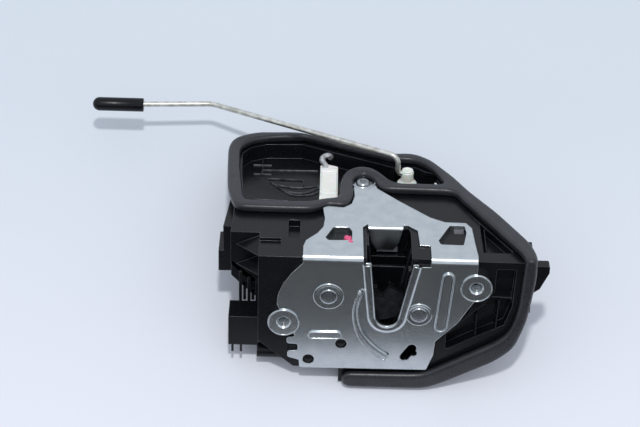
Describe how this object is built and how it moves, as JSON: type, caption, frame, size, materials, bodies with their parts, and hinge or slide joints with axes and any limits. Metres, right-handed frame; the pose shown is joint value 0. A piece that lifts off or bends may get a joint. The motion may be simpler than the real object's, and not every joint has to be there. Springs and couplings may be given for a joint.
{
  "type": "vehicle door latch",
  "caption": "Door latch with electric lock actuator, foam seal and sill rod: holds the striker bar in a turning fork until a release lever lifts the pawl.",
  "frame": {"origin": "on the outer edge of the latch plate's fold, at the middle of the striker mouth", "axes": "+X along the fold towards the fork's side, +Y from the shut face into the door, +Z out of the inner leg, the way the striker leaves"},
  "size_m": [0.2205, 0.1214, 0.0862],
  "materials": {
    "zinc_plate": "bright zinc plate",
    "steel": "plain steel",
    "spring_steel": "oiled spring steel",
    "jacket": "moulded jacket",
    "black_moulding": "moulded, slightly shiny",
    "foam": "closed cell foam",
    "bumper_rubber": "rubber",
    "cream_plastic": "cream",
    "clip_nylon": "natural nylon",
    "rod_zinc": "galvanised wire",
    "cap_vinyl": "soft vinyl",
    "motor_can": "drawn can",
    "worm_brass": "turned",
    "gear_nylon": "white nylon",
    "switch_plastic": "moulded",
    "contact_tin": "tinned",
    "screw_zinc": "zinc plated"
  },
  "bodies": {
    "latch": {"latch_plate": "zinc_plate", "fork_pivot": "steel", "pawl_pivot": "steel", "backing_plate": "steel", "fork_spring": "spring_steel", "pawl_spring": "spring_steel", "mouth_liner": "black_moulding", "striker_bumper": "bumper_rubber", "keeper_strip": "steel", "carrier_housing": "black_moulding", "rear_cover": "black_moulding", "weather_seal": "foam", "lock_lever_pin": "steel", "release_lever_pin": "steel", "outer_lever_pin": "steel", "lock_motor": "motor_can", "gear_pin": "steel", "lock_switch": "switch_plastic", "fork_switch": "switch_plastic", "connector_shell": "black_moulding", "connector_pins": "contact_tin", "tab_screw": "screw_zinc", "cover_screws": "screw_zinc"},
    "fork": {"fork_bolt": "steel", "fork_coating": "jacket"},
    "pawl": {"pawl": "steel"},
    "lock_lever": {"lock_lever": "black_moulding"},
    "rod": {"rod_clip": "clip_nylon", "lock_rod": "rod_zinc", "rod_cap": "cap_vinyl"},
    "inner_release": {"inner_release_lever": "cream_plastic", "release_hook": "steel"},
    "outer_release": {"outer_release_lever": "steel"},
    "worm": {"worm": "worm_brass"},
    "worm_gear": {"worm_gear": "gear_nylon"}
  },
  "joints": [
    {"name": "fork_turn", "type": "hinge", "parent": "latch", "child": "fork", "pos_m": [0.0142, 0.0055, -0.031], "axis": [0, -1, 0], "range_deg": [0, 80], "stiffness_Nm_per_rad": 0.12, "springref_deg": -20.05},
    {"name": "pawl_turn", "type": "hinge", "parent": "latch", "child": "pawl", "pos_m": [-0.0276, 0.0055, -0.022], "axis": [0, -1, 0], "range_deg": [-8, 4.3], "stiffness_Nm_per_rad": 0.2},
    {"name": "lock_lever_turn", "type": "hinge", "parent": "latch", "child": "lock_lever", "pos_m": [0.014, 0.0505, -0.0122], "axis": [0, 0, -1], "range_deg": [0, 24]},
    {"name": "rod_swivel", "type": "hinge", "parent": "lock_lever", "child": "rod", "pos_m": [0.009, 0.073, -0.004], "axis": [0, 0, -1], "range_deg": [-24, 0]},
    {"name": "inner_release_turn", "type": "hinge", "parent": "latch", "child": "inner_release", "pos_m": [-0.0286, 0.0505, -0.0081], "axis": [0, 0, 1], "range_deg": [0, 24], "stiffness_Nm_per_rad": 0.05, "springref_deg": -11.46},
    {"name": "outer_release_turn", "type": "hinge", "parent": "latch", "child": "outer_release", "pos_m": [-0.03, 0.0177, -0.048], "axis": [0, -1, 0], "range_deg": [0, 12], "stiffness_Nm_per_rad": 0.05, "springref_deg": -11.46},
    {"name": "worm_gear_turn", "type": "hinge", "parent": "latch", "child": "worm_gear", "pos_m": [-0.0025, 0.07055, -0.0178], "axis": [0, 0, 1], "range_deg": [0, 100]},
    {"name": "worm_spin", "type": "hinge", "parent": "latch", "child": "worm", "pos_m": [-0.008, 0.057, -0.0178], "axis": [1, 0, 0], "range_deg": [0, 2600]}
  ],
  "couplings": [
    {"joint": "rod_swivel", "follows": "lock_lever_turn", "ratio": -1},
    {"joint": "worm_gear_turn", "follows": "lock_lever_turn", "ratio": 4.1667},
    {"joint": "worm_spin", "follows": "lock_lever_turn", "ratio": 108.33}
  ]
}
